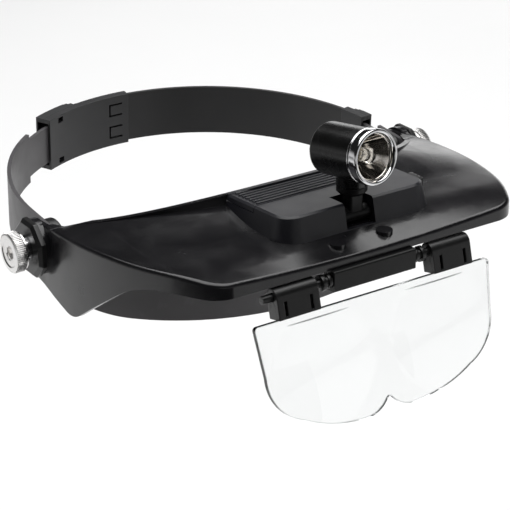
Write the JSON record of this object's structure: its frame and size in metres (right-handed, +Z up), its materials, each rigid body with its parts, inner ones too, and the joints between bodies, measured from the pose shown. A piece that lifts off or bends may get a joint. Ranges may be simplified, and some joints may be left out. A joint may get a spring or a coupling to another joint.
{
  "type": "head visor magnifier",
  "caption": "Head-worn visor with a hinged clear magnifying lens plate, a tilting lamp on a battery case, and an adjustable headband.",
  "frame": {"origin": "middle of the head opening, on the plane of the visor's pivots", "axes": "+X across the head, -Y forward past the lens, +Z up"},
  "size_m": [0.1894, 0.2002, 0.0987],
  "materials": {
    "band_plastic": "satin polypropylene",
    "visor_plastic": "fine satin ABS",
    "case_plastic": "fine satin ABS",
    "clip_plastic": "moulded black",
    "lamp_black": "satin black",
    "chrome": "polished",
    "reflector_mirror": "bright",
    "steel": "plain",
    "bulb_glass": "clear",
    "lens_clear": "clear acrylic",
    "cell_sleeve": "printed-free sleeve",
    "contact_metal": "plated"
  },
  "bodies": {
    "headband": {"front_band": "band_plastic", "pivot_nut_left": "visor_plastic", "pivot_nut_right": "visor_plastic"},
    "back_strap": {"rear_strap": "band_plastic", "left_adjuster_inner": "band_plastic", "left_adjuster_cover": "band_plastic", "right_adjuster_inner": "band_plastic", "right_adjuster_cover": "band_plastic", "left_pawl": "band_plastic"},
    "screw_left": {"thumbscrew_left": "chrome"},
    "screw_right": {"thumbscrew_right": "chrome"},
    "visor": {"visor_shell": "visor_plastic", "clamp_plate_left": "visor_plastic", "clamp_plate_right": "visor_plastic", "washer_left": "chrome", "washer_right": "chrome", "battery_case": "case_plastic", "battery_front": "cell_sleeve", "battery_rear": "cell_sleeve", "contact_springs": "contact_metal", "contact_plates": "contact_metal", "switch_body": "clip_plastic", "lamp_hinge_pin": "steel", "lens_mount_block": "clip_plastic", "block_screws": "steel", "case_screws": "steel"},
    "cover": {"battery_cover": "case_plastic"},
    "switch": {"switch_slider": "clip_plastic"},
    "neck": {"lamp_neck": "clip_plastic"},
    "lamp": {"lamp_body": "lamp_black", "lamp_bezel": "chrome", "lamp_reflector": "reflector_mirror", "lamp_bulb": "bulb_glass", "bulb_holder": "clip_plastic", "swivel_pin": "steel"},
    "lens_hanger": {"lens_rod": "clip_plastic", "left_lens_clip": "clip_plastic", "right_lens_clip": "clip_plastic"},
    "lens": {"lens_plate": "lens_clear"}
  },
  "joints": [
    {"name": "band_size", "type": "hinge", "parent": "headband", "child": "back_strap", "pos_m": [0, 0.02045, 0.00298], "axis": [0, -0.072, 0.9974], "range_deg": [-1, 3]},
    {"name": "visor_tilt", "type": "hinge", "parent": "headband", "child": "visor", "pos_m": [0, 0.0085, 0.0039], "axis": [-1, 0, 0], "range_deg": [-2.5, 50]},
    {"name": "screw_left_turn", "type": "hinge", "parent": "headband", "child": "screw_left", "pos_m": [-0.09, 0.0085, 0.0039], "axis": [-1, 0, 0], "continuous": true},
    {"name": "screw_right_turn", "type": "hinge", "parent": "headband", "child": "screw_right", "pos_m": [0.09, 0.0085, 0.0039], "axis": [1, 0, 0], "continuous": true},
    {"name": "cover_slide", "type": "slide", "parent": "visor", "child": "cover", "axis": [0, 1, 0], "range_m": [0, 0.018]},
    {"name": "switch_slide", "type": "slide", "parent": "visor", "child": "switch", "axis": [0, 1, 0], "range_m": [-0.0012, 0.0012]},
    {"name": "lamp_tilt", "type": "hinge", "parent": "visor", "child": "neck", "pos_m": [0.00415, -0.0678, 0.0222], "axis": [1, 0, 0], "range_deg": [-15, 40]},
    {"name": "lamp_swivel", "type": "hinge", "parent": "neck", "child": "lamp", "pos_m": [0.00415, -0.067, 0.033], "axis": [0, 0, 1], "range_deg": [-45, 45]},
    {"name": "lens_flip", "type": "hinge", "parent": "visor", "child": "lens_hanger", "pos_m": [0, -0.0845, 0.0082], "axis": [-1, 0, 0], "range_deg": [-15, 95]},
    {"name": "lens_pull", "type": "slide", "parent": "lens_hanger", "child": "lens", "axis": [0, -0.2419, -0.9703], "range_m": [0, 0.006]}
  ]
}
